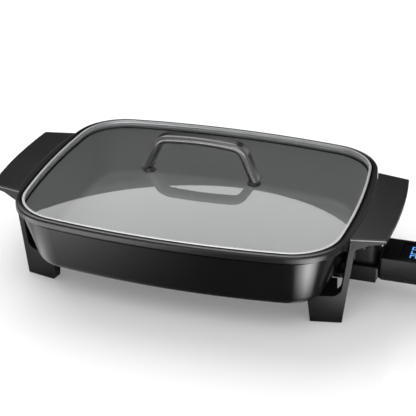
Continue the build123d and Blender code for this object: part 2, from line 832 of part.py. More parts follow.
def make_bottom_shell():
    top = body_split - split_gap
    shell = chamfer(bottom_edges(slab(case_outline(), body_bottom, top)), body_chamfer)
    shell -= slab(case_outline(chamfer_wall), body_floor, top + overcut)
    shell -= neck_block(nose_gap)
    for x, y in each_post(post_x, post_y):
        shell += rod((x, y, body_floor - overcut / 2), (0, 0, 1), post_size, top - body_floor + overcut / 2)
        shell -= rod((x, y, 0), (0, 0, 1), shell_screw + 2 * screw_clearance, top + overcut)
        shell -= rod((x, y, 0), (0, 0, 1), shell_screw_head + 2 * screw_clearance, body_bottom + post_foot)
    for x, y in each_post(board_post_x, board_post_y):
        shell += rod((x, y, body_floor - overcut / 2), (0, 0, 1), board_post, board_z - body_floor + overcut / 2)
        bore = rod((x, y, board_z), (0, 0, -1), board_screw + 2 * thread_fit, board_screw_grip + screw_clearance)
        shell -= bore
    return shell


def make_shell_screws():
    screws = []
    for x, y in each_post(post_x, post_y):
        seat = (x, y, body_bottom + post_foot)
        head = rod(seat, (0, 0, -1), shell_screw_head, shell_screw_head_height)
        length = body_split - body_bottom - post_foot + shell_screw_grip
        screws.append(head + rod(seat, (0, 0, 1), shell_screw, length))
    return Compound(screws)


def make_window():
    window = slab(case_outline(window_margin + window_fit), body_top - window_thickness, body_top)
    for index in range(len(button_names)):
        window -= button_hole(index, body_roof, body_top + overcut)
    return window


def make_gland():
    inner_face = body_end - body_wall - screw_clearance
    start = inner_face - gland_flange_thickness
    gland = rod((start, 0, gland_z), (1, 0, 0), gland_size, body_end + gland_proud - start)
    gland += rod((start, 0, gland_z), (1, 0, 0), gland_flange, gland_flange_thickness)
    return gland - rod((start, 0, gland_z), (1, 0, 0), gland_bore, far)


# ---- Controller plug end ----
def make_nose():
    half_y = guard_half_width - guard_wall - nose_play
    nose_z = (guard_bottom + guard_wall + nose_play, guard_top - guard_wall - nose_play)
    nose = block((nose_start, body_start - nose_gap), (-half_y, half_y), nose_z)
    nose = fillet(nose.edges().filter_by(Axis.X), nose_round)
    nose = chamfer(bottom_edges(nose, Axis.X), nose_lead_in) + neck_block()
    start = nose_start - overcut
    for y_sign in (-1, 1):
        y = y_sign * terminal_y
        bore = sleeve_recess + sleeve_length + 2 * overcut
        nose -= rod((start, y, element_z), (1, 0, 0), sleeve_size + 2 * thread_fit, bore)
        half_slot = tail_width / 2 + screw_clearance
        slot_z = (board_top - screw_clearance, board_top + tail_thickness + screw_clearance)
        nose -= block((nose_start + sleeve_length, far), (y - half_slot, y + half_slot), slot_z)
    nose -= rod((start, 0, element_z), (1, 0, 0), probe_size + 2 * sliding_fit, probe_root + overcut)
    return nose


def make_sleeves():
    """Spring sleeves that grip the terminal pins, each with a flat tail down to the main board."""
    sleeves = []
    start = nose_start + sleeve_recess
    for y_sign in (-1, 1):
        y = y_sign * terminal_y
        tube = rod((start, y, element_z), (1, 0, 0), sleeve_size, sleeve_length)
        tube -= rod((start, y, element_z), (1, 0, 0), sleeve_size - 2 * sleeve_wall, sleeve_length)
        tail_x = (start + sleeve_length - 2 * overcut, tail_end)
        half_tail = tail_width / 2
        tail_z = (board_top, board_top + tail_thickness)
        sleeves.append(tube + block(tail_x, (y - half_tail, y + half_tail), tail_z))
    return Compound(sleeves)


def make_probe():
    tip = nose_start - probe_depth
    probe = rod((tip, 0, element_z), (1, 0, 0), probe_size, probe_depth + probe_root)
    return fillet(bottom_edges(probe, Axis.X), probe_tip_round)


# ---- Controller insides ----
def display_ribs():
    reach = (display_length + display_board_margin_x) / 2
    return each_post((display_x - reach, display_x + reach), (display_width - rib_size) / 2)


def key_ribs():
    reach = key_board_reach - key_rib_inset
    return each_post((button_x - reach, button_x + reach), key_board_half_width - key_rib_inset)


def make_display():
    half_x, half_y = display_length / 2, display_width / 2
    return block((display_x - half_x, display_x + half_x), (-half_y, half_y), (display_board_top, display_top))


def make_display_board():
    half_x = display_length / 2 + display_board_margin_x
    half_y = display_width / 2 + display_board_margin_y
    board_zs = (display_board_top - board_thickness, display_board_top)
    return block((display_x - half_x, display_x + half_x), (-half_y, half_y), board_zs)


def make_main_board():
    board = slab(case_outline(body_wall + board_margin), board_z, board_top)
    board -= neck_block(overcut)
    for x, y in each_post(post_x, post_y):
        board -= rod((x, y, 0), (0, 0, 1), post_size + 2 * screw_clearance, far)
    for x, y in each_post(board_post_x, board_post_y):
        board -= rod((x, y, 0), (0, 0, 1), board_screw + 2 * screw_clearance, far)
    return board


def make_board_screws():
    screws = []
    for x, y in each_post(board_post_x, board_post_y):
        head = rod((x, y, board_top), (0, 0, 1), board_screw_head, board_screw_head_height)
        shank = rod((x, y, board_top), (0, 0, -1), board_screw, board_thickness + board_screw_grip)
        screws.append(head + shank)
    return Compound(screws)


def on_board(place, size):
    """Component box standing on the main board; its place is measured from the plug end of the case."""
    x, y = body_start + place[0], place[1]
    half_x, half_y = size[0] / 2, size[1] / 2
    return block((x - half_x, x + half_x), (y - half_y, y + half_y), (board_top, board_top + size[2]))


def make_capacitor():
    place = (body_start + capacitor_place[0], capacitor_place[1], board_top)
    can = rod(place, (0, 0, 1), capacitor_size, capacitor_height)
    return fillet(top_edges(can), capacitor_round)


def make_button(index):
    """Key cap with a flange under the roof that keeps it in and a stem over its switch."""
    x, y = button_place(index)
    cap_bottom = button_flange_top - button_flange_height
    cap = rod((x, y, cap_bottom), (0, 0, 1), button_size, body_top + button_proud - cap_bottom)
    cap = fillet(top_edges(cap), button_edge_round)
    flange_size = button_size + 2 * (button_flange + button_play)
    cap += rod((x, y, cap_bottom), (0, 0, 1), flange_size, button_flange_height)
    cap += rod((x, y, cap_bottom), (0, 0, -1), button_stem, button_stem_height)
    return cap


def make_key_board():
    board_x = (button_x - key_board_reach, button_x + key_board_reach)
    board_y = (-key_board_half_width, key_board_half_width)
    return block(board_x, board_y, (key_board_top - board_thickness, key_board_top))


def make_key_switches():
    switches = []
    half = switch_size / 2
    for index in range(len(button_names)):
        x, y = button_place(index)
        switch_z = (key_board_top, key_board_top + switch_height)
        switches.append(block((x - half, x + half), (y - half, y + half), switch_z))
    return Compound(switches)


def save(shape, name):
    export_step(shape, os.path.join("parts", name + ".step"))


os.makedirs("parts", exist_ok=True)

save(make_pan(), "pan")
save(swept_along_element(Circle(element_size / 2)), "heating_element")
save(make_terminal_pins(), "terminal_pins")
save(make_terminal_beads(), "terminal_beads")
save(make_guard(), "terminal_guard")
save(make_guard_screws(), "guard_screws")
for side_name, side in (("left", -1), ("right", 1)):
    save(make_frame(side), side_name + "_leg_frame")
    save(make_cover(side), side_name + "_handle_cover")
    save(make_frame_screws(side), side_name + "_frame_screws")
    save(make_cover_screws(side), side_name + "_cover_screws")
    for end_name, end in (("front", -1), ("back", 1)):
        save(make_pad(side, end), side_name + "_" + end_name + "_foot_pad")

over_glass = dome(glass_edge_top, glass_grow, glass_thickness)
under_glass = dome(glass_edge_bottom, glass_grow - glass_land, overcut)
save(make_glass(over_glass, under_glass), "glass_lid")
save(make_lid_band(), "lid_band")
save(make_lid_handle(), "lid_handle")
save(make_lid_gaskets(over_glass), "lid_gaskets")
save(make_lid_washers(under_glass), "lid_washers")
save(make_lid_screws(), "lid_screws")

save(make_top_shell(), "controller_top_shell")
save(make_bottom_shell(), "controller_bottom_shell")
save(make_shell_screws(), "controller_screws")
save(make_nose(), "controller_nose")
save(make_sleeves(), "receptacle_sleeves")
save(make_probe(), "temperature_probe")
save(make_window(), "display_window")
save(make_display(), "display_module")
save(make_display_board(), "display_board")
save(make_main_board(), "main_board")
save(make_board_screws(), "board_screws")
save(on_board(relay_place, relay_size), "relay")
save(on_board(supply_place, supply_size), "power_supply")
save(make_capacitor(), "capacitor")
save(make_key_board(), "key_board")
save(make_key_switches(), "key_switches")
save(make_gland(), "cord_gland")
for index, name in enumerate(button_names):
    save(make_button(index), name + "_button")
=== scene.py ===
import math

import bmesh
import bpy
from mathutils import Euler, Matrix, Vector


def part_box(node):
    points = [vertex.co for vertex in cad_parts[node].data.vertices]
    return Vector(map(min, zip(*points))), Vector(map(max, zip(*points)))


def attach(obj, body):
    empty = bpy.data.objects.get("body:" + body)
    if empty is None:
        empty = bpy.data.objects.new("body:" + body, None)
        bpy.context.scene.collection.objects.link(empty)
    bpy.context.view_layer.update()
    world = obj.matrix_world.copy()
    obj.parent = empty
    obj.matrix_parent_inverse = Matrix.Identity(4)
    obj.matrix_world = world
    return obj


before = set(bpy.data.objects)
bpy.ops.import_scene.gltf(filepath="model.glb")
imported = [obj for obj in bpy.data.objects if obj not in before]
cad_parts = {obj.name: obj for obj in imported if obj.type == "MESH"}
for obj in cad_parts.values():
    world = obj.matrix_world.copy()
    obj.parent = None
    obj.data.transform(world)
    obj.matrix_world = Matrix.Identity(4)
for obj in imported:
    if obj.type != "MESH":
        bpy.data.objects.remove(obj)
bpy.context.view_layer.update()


# ---- Studio floor ----
# A pale sheet of gloss acrylic under and round the pan. It keeps the pan's shadow and mirrors
# it softly, and to the camera alone it is lifted towards white, the more so far out.
class Value:
    """An output socket of a shader node; arithmetic on it adds Math nodes."""

    def __init__(self, tree, output):
        self.tree = tree
        self.output = output

    def math(self, operation, first, second=0.0):
        """One Math node on two terms, each a number or a socket."""
        node = self.tree.nodes.new("ShaderNodeMath")
        node.operation = operation
        for place, term in enumerate((first, second)):
            if isinstance(term, Value):
                self.tree.links.new(term.output, node.inputs[place])
            else:
                node.inputs[place].default_value = term
        return Value(self.tree, node.outputs[0])

    def __add__(self, other):
        return self.math("ADD", self, other)

    def __radd__(self, other):
        return self.math("ADD", other, self)

    def __sub__(self, other):
        return self.math("SUBTRACT", self, other)

    def __rsub__(self, other):
        return self.math("SUBTRACT", other, self)

    def __mul__(self, other):
        return self.math("MULTIPLY", self, other)

    def __rmul__(self, other):
        return self.math("MULTIPLY", other, self)

    def __truediv__(self, other):
        return self.math("DIVIDE", self, other)

    def __gt__(self, other):
        return self.math("GREATER_THAN", self, other)

    def __lt__(self, other):
        return self.math("LESS_THAN", self, other)

    def __pow__(self, other):
        return self.math("POWER", self, other)

    def __abs__(self):
        return self.math("ABSOLUTE", self)

    def larger(self, other):
        """The larger of two values; of two masks, where either holds."""
        return self.math("MAXIMUM", self, other)

    def smaller(self, other):
        return self.math("MINIMUM", self, other)

    def angle_from(self, across):
        """The angle, in radians, of a point that lies this far ahead and that far across."""
        return self.math("ARCTAN2", self, across)


class Finish:
    """The node tree of one material or of the world, with one way to add a node to it."""

    bevel_samples = 6
    flat_lean = 0.99
    full_lean = 0.75

    def __init__(self, name, owner=None):
        self.owner = owner or bpy.data.materials.new(name)
        self.owner.use_nodes = True
        self.tree = self.owner.node_tree
        self.tree.nodes.clear()

    def node(self, kind, settings=None, values=None, output=0):
        """Adds a node: its settings first, then the values or links of its sockets."""
        node = self.tree.nodes.new("ShaderNode" + kind)
        for name, setting in (settings or {}).items():
            setattr(node, name, setting)
        for socket, value in (values or {}).items():
            if isinstance(value, Value):
                self.tree.links.new(value.output, node.inputs[socket])
            else:
                node.inputs[socket].default_value = value
        return Value(self.tree, node.outputs[output]) if node.outputs else None

    def place(self):
        """The point on the surface, in metres from the middle of the pan's standing plane."""
        return self.node("TexCoord", output="Object")

    def along(self, axis, vector):
        """How far a point or direction goes along X, Y or Z."""
        return self.node("SeparateXYZ", None, {"Vector": vector}, output=axis)

    def dot(self, first, second):
        """How far two directions go the same way."""
        return self.node("VectorMath", {"operation": "DOT_PRODUCT"}, {0: first, 1: second}, output="Value")

    def ramp(self, value, start, end, least=0.0):
        """A share that goes from the least to 1 while the value goes from start to end."""
        return self.node("MapRange", None, {
            "Value": value, "From Min": start, "From Max": end, "To Min": least,
        })

    def mix(self, share, first, second):
        """The first colour, turning into the second as the share rises to 1."""
        return self.node("Mix", {"data_type": "RGBA"}, {0: share, 6: first, 7: second}, output=2)

    def layer(self, share, first, second):
        """The first shader, giving way to the second as the share rises to 1."""
        return self.node("MixShader", None, {0: share, 1: first, 2: second})

    def rounding(self, radius):
        """The normal of the surface with its sharp edges rounded."""
        return self.node("Bevel", {"samples": self.bevel_samples}, {"Radius": radius})

    def edges(self, radius):
        """The normal rounded over sharp edges, and how far each point leans into one, 0 to 1."""
        rounded = self.rounding(radius)
        lean = self.dot(rounded, self.node("NewGeometry", output="Normal"))
        return rounded, self.ramp(lean, self.flat_lean, self.full_lean)

    def close(self, shader, output="OutputMaterial"):
        """Ends the tree with this shader."""
        self.node(output, None, {"Surface": shader})


def flat_sheet(left, right, front, back, height):
    """The mesh of a level rectangle."""
    bm = bmesh.new()
    corners = ((left, front), (right, front), (right, back), (left, back))
    bm.faces.new([bm.verts.new((x, y, height)) for x, y in corners])
    return bm


def object_from(bm, name, finish):
    """An object of the scene made from a mesh and a finish."""
    mesh = bpy.data.meshes.new(name)
    bm.to_mesh(mesh)
    bm.free()
    mesh.materials.append(finish.owner)
    made = bpy.data.objects.new(name, mesh)
    bpy.context.scene.collection.objects.link(made)
    return made


floor_reach = 6.0
floor_colour = (0.90, 0.90, 0.90, 1.0)
floor_roughness = 0.10
floor_haze = 0.04
floor_lift = 0.19
floor_far_lift = 0.22
floor_near = 0.40
floor_far = 0.90

acrylic = Finish("floor_acrylic")
floor_place = acrylic.place()
floor_cloud = acrylic.node("TexNoise", None, {"Vector": floor_place, "Scale": 3.0, "Detail": 2.0})
floor_seen = acrylic.node("LightPath", output="Is Camera Ray")
floor_range = acrylic.node("VectorMath", {"operation": "LENGTH"}, {0: floor_place}, output="Value")
floor_away = acrylic.ramp(floor_range, floor_near, floor_far)
acrylic.close(acrylic.node("BsdfPrincipled", None, {
    "Base Color": floor_colour,
    "Roughness": floor_roughness + floor_haze * floor_cloud,
    "Specular IOR Level": 0.5,
    "Emission Color": floor_seen * (floor_lift + floor_far_lift * floor_away),
    "Emission Strength": 1.0,
}))
floor_bm = flat_sheet(-floor_reach, floor_reach, -floor_reach, floor_reach, 0.0)
floor = object_from(floor_bm, "studio_floor", acrylic)

# ---- Backdrop and lamps ----
# A white surround, a large oval lamp high behind the pan that the lid's dome mirrors, a soft
# lamp over the front, and a low lamp in front that only polished surfaces mirror.
surround_colour = (1.0, 1.0, 1.0, 1.0)
surround_strength = 1.0
surround_fill = 0.55

world = bpy.data.worlds.new("studio_surround")
bpy.context.scene.world = world
surround = Finish("studio_surround", world)
seen = surround.node("LightPath", output="Is Camera Ray")
mirrored = surround.node("LightPath", output="Is Glossy Ray")
passed = surround.node("LightPath", output="Is Transmission Ray")
whiteness = seen.larger(mirrored.larger(passed))
surround_light = surround.node("Background", None, {
    "Color": surround_colour,
    "Strength": surround_fill + (surround_strength - surround_fill) * whiteness,
})
surround.close(surround_light, "OutputWorld")

# Each lamp: its shape, length and width, place, the point it faces, its turn about that line
# in degrees, its power in watts, and whether dull surfaces get its light too.
lamps = {
    "lid_lamp": ("ELLIPSE", (2.22, 1.31), (-0.610, 0.539, 1.454), (-0.422, -0.076, 0.688), 34.4, 17.0, True),
    "top_lamp": ("RECTANGLE", (1.2, 1.2), (0.30, -0.95, 1.55), (0.0, 0.0, 0.05), 0.0, 9.0, True),
    "front_card": ("RECTANGLE", (1.7, 0.6), (0.34, -1.10, 0.42), (0.0, 0.0, 0.12), 0.0, 14.0, False),
}
for name, (shape, size, place, target, roll, power, lights_all) in lamps.items():
    light = bpy.data.lights.new(name, "AREA")
    light.shape = shape
    light.size = size[0]
    light.size_y = size[1]
    light.energy = power
    lamp = bpy.data.objects.new(name, light)
    lamp.location = place
    aim = (Vector(place) - Vector(target)).to_track_quat("Z", "Y")
    lamp.rotation_euler = (aim @ Euler((0, 0, math.radians(roll))).to_quaternion()).to_euler()
    lamp.visible_camera = False
    lamp.visible_diffuse = lights_all
    bpy.context.scene.collection.objects.link(lamp)


# ---- Dark cloths ----
# A dark cloth hung in an arc behind the pan, and the same cloth on the floor there. Only
# polished surfaces see them, and from its back a cloth is clear.
def hang(bm, name, finish):
    """A sheet of the studio that shows in polished surfaces and nowhere else."""
    sheet = object_from(bm, name, finish)
    sheet.visible_camera = False
    sheet.visible_diffuse = False
    sheet.visible_shadow = False
    sheet.visible_transmission = False


def clear_behind(finish, shader):
    """The shader on the front of a sheet, with nothing to see on its back."""
    back = finish.node("NewGeometry", output="Backfacing")
    nothing = finish.node("BsdfTransparent", None, {"Color": (1.0, 1.0, 1.0, 1.0)})
    return finish.layer(back, shader, nothing)


flag_colour = (0.06, 0.06, 0.06, 1.0)
flag_distance = 1.9
flag_reach = math.radians(35)
flag_turn = math.radians(103)
flag_low = 0.0
flag_high = 2.60
flag_strips = 24
sheet_height = 0.0006
cloth_reach = 1.3
cloth_near = 0.24
cloth_far = 1.85

cloth = Finish("flag_cloth")
cloth.close(clear_behind(cloth, cloth.node("BsdfDiffuse", None, {"Color": flag_colour})))
flag_bm = bmesh.new()
flag_rows = []
for strip in range(flag_strips + 1):
    turn = flag_turn + flag_reach * (2 * strip / flag_strips - 1)
    x = flag_distance * math.cos(turn)
    y = flag_distance * math.sin(turn)
    flag_rows.append([flag_bm.verts.new((x, y, z)) for z in (flag_low, flag_high)])
for near, far in zip(flag_rows, flag_rows[1:]):
    flag_bm.faces.new((near[0], near[1], far[1], far[0]))
hang(flag_bm, "black_flag", cloth)
hang(flat_sheet(-cloth_reach, cloth_reach, cloth_near, cloth_far, sheet_height), "floor_cloth", cloth)

# ---- Floor glow ----
# A sheet on the floor in front of the pan that glows, for polished surfaces alone: more to the
# left and to the front, in a fan off the pan's right front corner, and in two round spots.
glow_left = -0.42
glow_right = 0.42
glow_front = -0.62
glow_back = -0.07
glow_strength = 4.0
glow_start = 0.06
glow_fall = 0.25
glow_side_power = 2.0
glow_depth = 0.17
glow_depth_power = 2.7
glow_most = 4.0
glow_least = 0.03
fan_centre = (0.12, -0.08)
fan_strength = 7.5
fan_front_edge = (-1.12, -0.66)
fan_side_edge = (-0.20, -0.60)
fan_hub = (0.060, 0.095)
fan_hub_share = 0.05

# Each spot: its centre, its radius and how much it adds at the centre.
spots = (
    ((0.25, -0.28), 0.12, 5.0),
    ((-0.200, -0.110), 0.050, 0.6),
)

glow = Finish("floor_glow")
glow_place = glow.place()
glow_x = glow.along("X", glow_place)
glow_y = glow.along("Y", glow_place)


def from_point(centre):
    """How far the sheet's point lies across and ahead of a centre, and its distance from it."""
    across = glow_x - centre[0]
    ahead = glow_y - centre[1]
    return across, ahead, (across * across + ahead * ahead) ** 0.5


glow_rise = (glow_start - glow_x).larger(0.0) / glow_fall
glow_fade = glow_rise ** glow_side_power * ((0.0 - glow_y) / glow_depth) ** glow_depth_power
glow_fade = glow_fade.smaller(glow_most) + glow_least
fan_across, fan_ahead, fan_reach = from_point(fan_centre)
fan_angle = fan_ahead.angle_from(fan_across)
fan = glow.ramp(fan_angle, *fan_front_edge) * glow.ramp(fan_angle, *fan_side_edge)
fan = fan * glow.ramp(fan_reach, *fan_hub, fan_hub_share)
glow_fade = glow_fade + fan * fan_strength
for centre, radius, spot_strength in spots:
    glow_fade = glow_fade + glow.ramp(from_point(centre)[2], radius, 0.0) * spot_strength
glow_light = glow.node("Emission", None, {"Color": glow_fade, "Strength": glow_strength})
glow.close(clear_behind(glow, glow_light))
hang(flat_sheet(glow_left, glow_right, glow_front, glow_back, sheet_height), "floor_glow", glow)

# ---- Camera ----
# A long lens from the right front, above the rim, with a small shift for the framing.
# The view transform is the plain one, so colours stay as they are written.
camera_place = Vector((0.3699, -1.1888, 0.7206))
camera_target = Vector((0.0, 0.0, 0.05715))

camera_data = bpy.data.cameras.new("camera")
camera_data.sensor_width = 36.0
camera_data.lens = 107.75
camera_data.shift_x = 0.01657
camera_data.shift_y = 0.02777
camera = bpy.data.objects.new("camera", camera_data)
camera.location = camera_place
camera.rotation_euler = (camera_place - camera_target).to_track_quat("Z", "Y").to_euler()
bpy.context.scene.collection.objects.link(camera)
bpy.context.scene.camera = camera
bpy.context.scene.view_settings.view_transform = "Standard"


# ---- Pan ----
# One die-cast aluminium piece under a baked black non-stick coat: gloss outside, and a dark
# grey satin with fine granules on the cooking surface. Painted shade makes the groove under
# the rim and the strip beside the lid near black; painted highlights line the rim's front, back and edges.
def dress(finish, *names):
    """Gives these CAD pieces one finish."""
    for name in names:
        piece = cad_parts[name]
        for slot in piece.material_slots:
            slot.material = finish.owner


coat_colour = (0.0060, 0.0060, 0.0063, 1.0)
coat_worn_colour = (0.009, 0.009, 0.0093, 1.0)
rim_band_colour = (0.015, 0.015, 0.0155, 1.0)
painted_edge_highlight = (0.045, 0.045, 0.046, 1.0)
painted_rim_highlight_colour = (0.160, 0.160, 0.162, 1.0)
painted_shadow_colour = (0.001, 0.001, 0.001, 1.0)
cooking_colour = (0.210, 0.210, 0.213, 1.0)
granule_colour = (0.310, 0.310, 0.315, 1.0)
granule_level = 0.56
granule_share = 0.6
granule_relief = 0.6
coat_roughness = 0.17
smear_roughness = 0.05
rim_band_roughness = 0.06
cooking_roughness = 0.22
granule_roughness = 0.06
level_slope = 0.85
cooking_low = 0.040
cooking_top = 0.0975
groove_low = 0.0952
groove_high = 0.0989
rim_round = 0.0022
rim_line_round = 0.006
lid_side_lean = (-0.018, -0.028)
long_side = (0.105, 0.135)

coat = Finish("pan_coating")
pan_place = coat.place()
pan_x, pan_y, pan_z = [coat.along(axis, pan_place) for axis in "XYZ"]
pan_normal = coat.node("NewGeometry", output="Normal")
faces_x, faces_y, faces_z = [coat.along(axis, pan_normal) for axis in "XYZ"]
facing_in = (pan_x * faces_x + pan_y * faces_y) < 0.0
facing_up = faces_z > level_slope
inside = facing_in.larger(facing_up) * (pan_z < cooking_top) * (pan_z > cooking_low)
outside = 1.0 - inside
on_band = (pan_z > groove_high) * outside
groove_shadow_mask = (pan_z > groove_low) * (pan_z < groove_high) * outside

granules = coat.node("TexNoise", None, {
    "Vector": pan_place, "Scale": 1400.0, "Detail": 3.0, "Roughness": 0.7,
})
smears = coat.node("TexNoise", None, {
    "Vector": pan_place, "Scale": 22.0, "Detail": 4.0, "Roughness": 0.62,
})
orange_peel = coat.node("TexNoise", None, {"Vector": pan_place, "Scale": 420.0, "Detail": 2.0})
skin_colour = coat.mix(smears, coat_colour, coat_worn_colour)
outer_colour = coat.mix(on_band, skin_colour, rim_band_colour)
granule_mask = (granules > granule_level) * granule_share * inside
well_colour = coat.mix(granule_mask, cooking_colour, granule_colour)
pan_colour = coat.mix(inside, outer_colour, well_colour)

# The rim's top leans into its wide rounding towards the lid, and that part gets painted shade.
rim_rounding, pan_edge_highlight_mask = coat.edges(rim_round)
wide_rounding = coat.rounding(rim_line_round)
leans_out = coat.dot(wide_rounding, pan_place) - coat.along("Z", wide_rounding) * pan_z
lid_side_shadow_mask = coat.ramp(leans_out, *lid_side_lean)
along_side = coat.ramp(abs(pan_y), *long_side)
# A painted highlight line along the rim's front and back, outside the shaded strip.
rim_highlight_mask = (1.0 - lid_side_shadow_mask) * on_band * facing_up * along_side
painted_shade_mask = groove_shadow_mask.larger(lid_side_shadow_mask * on_band)
# Rounded outer edges get a painted highlight colour on top of their rounded normal.
edge_highlit_colour = coat.mix(pan_edge_highlight_mask * outside, pan_colour, painted_edge_highlight)
rim_highlit_colour = coat.mix(rim_highlight_mask, edge_highlit_colour, painted_rim_highlight_colour)

outer_roughness = coat_roughness + smear_roughness * smears + rim_band_roughness * on_band
well_roughness = inside * (cooking_roughness + granule_roughness * granules)
pan_relief = coat.node("Bump", None, {
    "Strength": 0.05,
    "Distance": 0.0002,
    "Height": orange_peel + granule_relief * granules * inside,
    "Normal": rim_rounding,
})
skin = coat.node("BsdfPrincipled", None, {
    "Base Color": rim_highlit_colour,
    "Roughness": outer_roughness + well_roughness,
    "Specular IOR Level": 0.10,
    "Normal": pan_relief,
})
# Painted shadow: near-black diffuse in the groove under the rim and the strip beside the lid.
shade = coat.node("BsdfDiffuse", None, {"Color": painted_shadow_colour})
coat.close(coat.layer(painted_shade_mask, skin, shade))
dress(coat, "pan")


# ---- Heating element, terminals and beads ----
# A steel-sheathed loop pressed into the base, darkened by heat, with nickel-plated pins
# and a ceramic bead at each end.
def worn_finish(
    name, clean, worn, scale, detail, roughness, rougher, relief, depth=0.0001,
    patchiness=0.5, falloff=1.0, grain_scale=None, grain_detail=2.0,
    edge_highlight_colour=None, edge_round=0.0010, metallic=0.0, specular=0.5,
):
    """A finish that one noise takes from clean to worn, in colour, roughness and relief.

    A finer grain can give the relief instead, and rounded edges can get a painted highlight colour.
    """
    finish = Finish(name)
    place = finish.place()
    wear = finish.node("TexNoise", None, {
        "Vector": place, "Scale": scale, "Detail": detail, "Roughness": patchiness,
    })
    colour = finish.mix(wear ** falloff, clean, worn)
    bumps = {"Strength": relief, "Distance": depth, "Height": wear}
    if grain_scale:
        grain = {"Vector": place, "Scale": grain_scale, "Detail": grain_detail}
        bumps["Height"] = finish.node("TexNoise", None, grain)
    if edge_highlight_colour:
        bumps["Normal"], lean = finish.edges(edge_round)
        colour = finish.mix(lean, colour, edge_highlight_colour)
    finish.close(finish.node("BsdfPrincipled", None, {
        "Base Color": colour,
        "Metallic": metallic,
        "Roughness": roughness + rougher * wear,
        "Specular IOR Level": specular,
        "Normal": finish.node("Bump", None, bumps),
    }))
    return finish


sheath = worn_finish(
    "element_steel", clean=(0.20, 0.18, 0.165, 1.0), worn=(0.075, 0.062, 0.055, 1.0),
    scale=60.0, detail=5.0, roughness=0.42, rougher=0.2, relief=0.15, depth=0.0002,
    metallic=1.0,
)
dress(sheath, "heating_element")

nickel = worn_finish(
    "pin_metal", clean=(0.66, 0.65, 0.62, 1.0), worn=(0.48, 0.47, 0.45, 1.0),
    scale=300.0, detail=4.0, roughness=0.18, rougher=0.2, relief=0.1, metallic=1.0,
)
dress(nickel, "terminal_pins", "receptacle_sleeves", "temperature_probe")

ceramic = worn_finish(
    "bead_ceramic", clean=(0.80, 0.77, 0.70, 1.0), worn=(0.60, 0.55, 0.46, 1.0),
    scale=900.0, detail=4.0, falloff=2.0, roughness=0.62, rougher=0.1, relief=0.3,
)
dress(ceramic, "terminal_beads")

# ---- Leg frames and terminal guard ----
# Black heat-resistant mouldings with a fine spark-eroded grain. The frames screw to the
# pan's lugs, and the guard screws up into the base under the right handle.
moulding_colour = (0.007, 0.007, 0.0074, 1.0)
moulding_scuffed_colour = (0.015, 0.015, 0.016, 1.0)
moulding_edge_highlight_colour = (0.090, 0.090, 0.091, 1.0)
moulding_round = 0.0010
moulding_roughness = 0.34
flow_roughness = 0.08
grain_roughness = 0.06
scuff_roughness = 0.1
flow_share = 0.35
scuff_share = 0.3
scuff_height = 0.03
scuff_level = 0.52

moulding = Finish("leg_moulding")
moulding_place = moulding.place()
grain = moulding.node("TexNoise", None, {
    "Vector": moulding_place, "Scale": 1900.0, "Detail": 3.0, "Roughness": 0.6,
})
flow = moulding.node("TexNoise", None, {"Vector": moulding_place, "Scale": 30.0, "Detail": 4.0})
height = moulding.along("Z", moulding_place)
foot_scuff = (1.0 - height / scuff_height) * (height < scuff_height) * (flow > scuff_level)
moulding_wear = flow_share * flow + scuff_share * foot_scuff
moulding_mix = moulding.mix(moulding_wear, moulding_colour, moulding_scuffed_colour)
# Rounded edges get a painted highlight colour as well as the rounded normal.
moulding_edges, moulding_highlight_mask = moulding.edges(moulding_round)
moulding_edge_lit = moulding.mix(moulding_highlight_mask, moulding_mix, moulding_edge_highlight_colour)
moulding_dull = moulding_roughness + flow_roughness * flow + grain_roughness * grain
moulding_relief = moulding.node("Bump", None, {
    "Strength": 0.25, "Distance": 0.0001, "Height": grain, "Normal": moulding_edges,
})
moulding.close(moulding.node("BsdfPrincipled", None, {
    "Base Color": moulding_edge_lit,
    "Roughness": moulding_dull + scuff_roughness * foot_scuff,
    "Specular IOR Level": 0.06,
    "Normal": moulding_relief,
}))
dress(moulding, "left_leg_frame", "right_leg_frame", "terminal_guard")

# ---- Handle covers ----
# Smooth satin skins over the leg frames, in the same black, whose rounded edges catch the light and carry a
# painted highlight.
# Two screws from below hold each one down.
cover = worn_finish(
    "handle_skin", clean=(0.008, 0.008, 0.0085, 1.0), worn=(0.013, 0.013, 0.014, 1.0),
    scale=18.0, detail=5.0, patchiness=0.6, roughness=0.22, rougher=0.06, specular=0.24,
    relief=0.08, grain_scale=2600.0, edge_highlight_colour=(0.150, 0.150, 0.152, 1.0),
)
dress(cover, "left_handle_cover", "right_handle_cover")

# ---- Foot pads ----
# Soft black rubber, dusty where it meets the table. Each pad is let into the underside of
# its foot.
rubber = worn_finish(
    "foot_rubber", clean=(0.012, 0.012, 0.012, 1.0), worn=(0.055, 0.053, 0.050, 1.0),
    scale=240.0, detail=6.0, patchiness=0.7, falloff=3.0, roughness=0.72, rougher=0.12,
    specular=0.3, relief=0.3, depth=0.0002,
)
dress(rubber, "left_front_foot_pad", "left_back_foot_pad", "right_front_foot_pad", "right_back_foot_pad")

# ---- Screws ----
# Zinc-plated steel screws for the frames, the covers, the guard, the lid handle, the
# controller and its board. The plating is a little greyer in patches.
zinc = worn_finish(
    "screw_steel", clean=(0.50, 0.50, 0.51, 1.0), worn=(0.32, 0.32, 0.33, 1.0),
    scale=700.0, detail=4.0, roughness=0.28, rougher=0.2, relief=0.15, metallic=1.0,
)
dress(zinc, "guard_screws", "left_frame_screws", "right_frame_screws")
dress(zinc, "left_cover_screws", "right_cover_screws")
dress(zinc, "lid_screws", "controller_screws", "board_screws")

# ---- Lid glass ----
# A pressed dome of clear tempered glass, 4 mm thick, drilled twice for the handle's screws.
# Its outer face mirrors a little of the surround, with a gain for the face behind it.
glass_tint = (0.975, 0.985, 0.980, 1.0)
glass_mirror = (1.0, 1.0, 1.0, 1.0)
glass_ior = 1.5
both_faces = 1.5
glass_roughness = 0.012
film_roughness = 0.02
dome_rise = 0.0115
dome_half_length = 0.1804
dome_half_width = 0.1434
pressed_slope = 0.6

